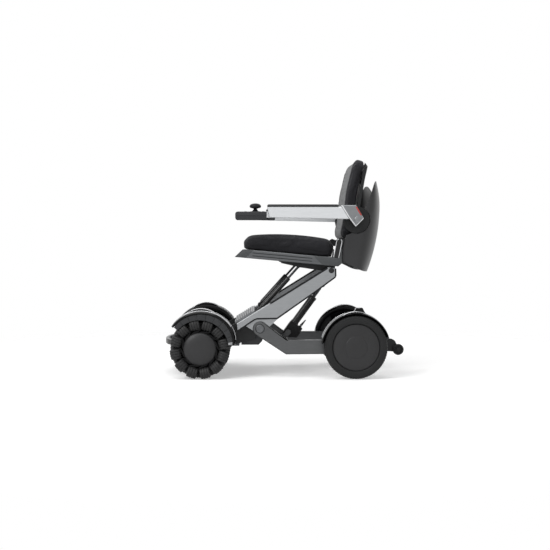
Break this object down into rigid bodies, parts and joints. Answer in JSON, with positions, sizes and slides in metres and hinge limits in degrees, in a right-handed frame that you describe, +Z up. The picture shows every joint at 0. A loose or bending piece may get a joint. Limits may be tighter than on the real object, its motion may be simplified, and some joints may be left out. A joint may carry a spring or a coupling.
{
  "type": "folding power wheelchair",
  "caption": "Powered wheelchair with omni-directional roller front wheels, hub-motor rear wheels, a Z-shaped folding silver frame, wing backrest and joystick armrest.",
  "frame": {"origin": "floor level under the middle of the wheelchair's bounding box", "axes": "+Z up; the chair faces -X; +Y is the user's right"},
  "size_m": [1.0165, 0.6084, 0.9115],
  "materials": {
    "silver_frame": "satin silver, bead blasted and anodised",
    "armrest_silver": "brushed bright silver",
    "rail_grey": "dark grey anodised",
    "black_plastic": "fine grained moulding",
    "black_steel": "black powder coat",
    "wing_grey": "satin moulding",
    "gloss_black": "gloss",
    "hub_grey": "satin cover on the motor drum",
    "rubber": "matt",
    "tyre": "matt solid tyre",
    "cushion_fabric": "black woven spacer fabric over foam",
    "steel": "hard chromed rod",
    "button_grey": "matt"
  },
  "bodies": {
    "base": {"base_beam_left": "silver_frame", "base_beam_right": "silver_frame", "front_crossmember": "silver_frame", "rear_crossmember": "black_steel", "fold_pin_left": "rail_grey", "fold_pin_right": "rail_grey", "rear_fender_left": "gloss_black", "rear_fender_right": "gloss_black"},
    "arm": {"main_arm_left": "silver_frame", "main_arm_right": "silver_frame", "arm_front_crossmember": "rail_grey", "arm_rear_crossmember": "rail_grey", "heel_plate": "rail_grey", "control_box": "black_plastic", "footplate": "rail_grey", "front_bracket_left": "black_steel", "front_bracket_right": "black_steel", "front_fender_left": "gloss_black", "front_fender_right": "gloss_black", "fender_liner_left": "wing_grey", "fender_liner_right": "wing_grey"},
    "seat": {"seat_rail_left": "rail_grey", "seat_rail_right": "rail_grey", "seat_pan": "black_steel", "seat_bracket_left": "black_steel", "seat_bracket_right": "black_steel", "back_hinge_bracket_left": "silver_frame", "back_hinge_bracket_right": "silver_frame", "seat_cushion": "cushion_fabric"},
    "back": {"back_frame": "rail_grey", "back_panel": "wing_grey", "back_cushion": "cushion_fabric", "back_wing_left": "wing_grey", "back_wing_right": "wing_grey"},
    "armrest_left": {"armrest_left": "armrest_silver", "armrest_knee_left": "rail_grey", "armrest_pad_left": "black_plastic", "joystick_housing": "black_plastic"},
    "armrest_right": {"armrest_right": "armrest_silver", "armrest_knee_right": "rail_grey", "armrest_pad_right": "black_plastic"},
    "gimbal": {"joystick_gimbal": "steel"},
    "stick": {"joystick_stick": "rubber"},
    "power_button": {"joystick_power_button": "button_grey"},
    "horn_button": {"joystick_horn_button": "button_grey"},
    "rear_actuator": {"rear_actuator_tube": "black_plastic"},
    "rear_rod": {"rear_actuator_rod": "steel"},
    "release_lever": {"release_lever": "steel"},
    "rear_wheel_left": {"rear_wheel_left": "hub_grey", "rear_tyre_left": "tyre"},
    "front_wheel_left": {"front_wheel_left": "rubber"},
    "anti_tip_wheel_left": {"anti_tip_wheel_left": "rubber"},
    "strut_left": {"strut_tube_left": "black_plastic"},
    "strut_rod_left": {"strut_rod_left": "steel"},
    "rear_wheel_right": {"rear_wheel_right": "hub_grey", "rear_tyre_right": "tyre"},
    "front_wheel_right": {"front_wheel_right": "rubber"},
    "anti_tip_wheel_right": {"anti_tip_wheel_right": "rubber"},
    "strut_right": {"strut_tube_right": "black_plastic"},
    "strut_rod_right": {"strut_rod_right": "steel"}
  },
  "joints": [
    {"name": "fold", "type": "hinge", "parent": "base", "child": "arm", "pos_m": [-0.104, 0, 0.203], "axis": [0, 1, 0], "range_deg": [0, 25]},
    {"name": "seat_level", "type": "hinge", "parent": "arm", "child": "seat", "pos_m": [0.1915, 0, 0.444], "axis": [0, 1, 0], "range_deg": [-20.2, 0]},
    {"name": "back_fold", "type": "hinge", "parent": "seat", "child": "back", "pos_m": [0.2235, 0, 0.563], "axis": [0, -1, 0], "range_deg": [0, 88]},
    {"name": "rear_actuator_swing", "type": "hinge", "parent": "base", "child": "rear_actuator", "pos_m": [0.0185, 0, 0.172], "axis": [0, 1, 0], "range_deg": [0, 32.8]},
    {"name": "rear_actuator_stroke", "type": "slide", "parent": "rear_actuator", "child": "rear_rod", "axis": [0.5886, 0, 0.8084], "range_m": [-0.0445, 0]},
    {"name": "release_lever_turn", "type": "hinge", "parent": "rear_actuator", "child": "release_lever", "pos_m": [0.07542, 0, 0.19921], "axis": [0, 1, 0], "range_deg": [0, 30]},
    {"name": "strut_left_swing", "type": "hinge", "parent": "arm", "child": "strut_left", "pos_m": [-0.1025, -0.18, 0.281], "axis": [0, 1, 0], "range_deg": [0, 7.7]},
    {"name": "strut_left_stroke", "type": "slide", "parent": "strut_left", "child": "strut_rod_left", "axis": [0.6679, 0, 0.7443], "range_m": [-0.033, 0]},
    {"name": "armrest_left_flip", "type": "hinge", "parent": "back", "child": "armrest_left", "pos_m": [0.2955, -0.2615, 0.654], "axis": [0, 1, 0], "range_deg": [0, 100]},
    {"name": "rear_wheel_left_spin", "type": "hinge", "parent": "base", "child": "rear_wheel_left", "pos_m": [0.2895, -0.274, 0.13], "axis": [0, 1, 0], "continuous": true},
    {"name": "front_wheel_left_spin", "type": "hinge", "parent": "arm", "child": "front_wheel_left", "pos_m": [-0.3505, -0.257, 0.124], "axis": [0, 1, 0], "continuous": true},
    {"name": "anti_tip_left_spin", "type": "hinge", "parent": "base", "child": "anti_tip_wheel_left", "pos_m": [0.4845, -0.12, 0.105], "axis": [0, 1, 0], "continuous": true},
    {"name": "strut_right_swing", "type": "hinge", "parent": "arm", "child": "strut_right", "pos_m": [-0.1025, 0.18, 0.281], "axis": [0, 1, 0], "range_deg": [0, 7.7]},
    {"name": "strut_right_stroke", "type": "slide", "parent": "strut_right", "child": "strut_rod_right", "axis": [0.6679, 0, 0.7443], "range_m": [-0.033, 0]},
    {"name": "armrest_right_flip", "type": "hinge", "parent": "back", "child": "armrest_right", "pos_m": [0.2955, 0.2615, 0.654], "axis": [0, 1, 0], "range_deg": [0, 100]},
    {"name": "rear_wheel_right_spin", "type": "hinge", "parent": "base", "child": "rear_wheel_right", "pos_m": [0.2895, 0.274, 0.13], "axis": [0, 1, 0], "continuous": true},
    {"name": "front_wheel_right_spin", "type": "hinge", "parent": "arm", "child": "front_wheel_right", "pos_m": [-0.3505, 0.257, 0.124], "axis": [0, 1, 0], "continuous": true},
    {"name": "anti_tip_right_spin", "type": "hinge", "parent": "base", "child": "anti_tip_wheel_right", "pos_m": [0.4845, 0.12, 0.105], "axis": [0, 1, 0], "continuous": true},
    {"name": "joystick_fore_aft", "type": "hinge", "parent": "armrest_left", "child": "gimbal", "pos_m": [-0.123, -0.2615, 0.6726], "axis": [0, 1, 0], "range_deg": [-16, 16], "stiffness_Nm_per_rad": 0.12},
    {"name": "joystick_side", "type": "hinge", "parent": "gimbal", "child": "stick", "pos_m": [-0.123, -0.2615, 0.6726], "axis": [1, 0, 0], "range_deg": [-16, 16], "stiffness_Nm_per_rad": 0.12},
    {"name": "power_press", "type": "slide", "parent": "armrest_left", "child": "power_button", "axis": [0, 0, -1], "range_m": [0, 0.0015], "stiffness_N_per_m": 400},
    {"name": "horn_press", "type": "slide", "parent": "armrest_left", "child": "horn_button", "axis": [0, 0, -1], "range_m": [0, 0.0015], "stiffness_N_per_m": 400}
  ],
  "couplings": [
    {"joint": "seat_level", "follows": "fold", "ratio": -0.8},
    {"joint": "rear_actuator_swing", "follows": "fold", "ratio": 1.305},
    {"joint": "rear_actuator_stroke", "follows": "fold", "m_per_rad": -0.10126},
    {"joint": "strut_left_swing", "follows": "fold", "ratio": 0.3036},
    {"joint": "strut_left_stroke", "follows": "fold", "m_per_rad": -0.075016},
    {"joint": "strut_right_swing", "follows": "fold", "ratio": 0.3036},
    {"joint": "strut_right_stroke", "follows": "fold", "m_per_rad": -0.075016}
  ]
}
